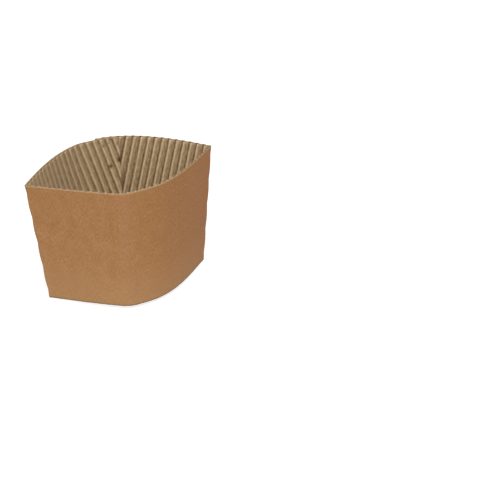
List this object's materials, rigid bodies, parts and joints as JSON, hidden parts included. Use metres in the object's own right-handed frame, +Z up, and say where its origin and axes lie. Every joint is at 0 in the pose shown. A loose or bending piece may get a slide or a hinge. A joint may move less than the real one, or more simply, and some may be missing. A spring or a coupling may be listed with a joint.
{
  "type": "coffee cup sleeve",
  "caption": "Open kraft cup sleeve of single-face corrugated board, creased at both sides and glued in a lap at the back.",
  "frame": {"origin": "centre of the footprint box, on the surface that the sleeve stands on", "axes": "+X from the left crease to the right crease, -Y towards the front wall, +Z up from the narrow rim to the wide rim"},
  "size_m": [0.0956, 0.0696, 0.0621],
  "materials": {
    "kraft_liner": "matt smooth kraft paper with fine fibres, lighter along the cut edges",
    "kraft_medium": "rough greyish kraft paper, fluted"
  },
  "bodies": {
    "root": {"outer_liner": "kraft_liner", "fluted_medium": "kraft_medium"}
  },
  "joints": []
}
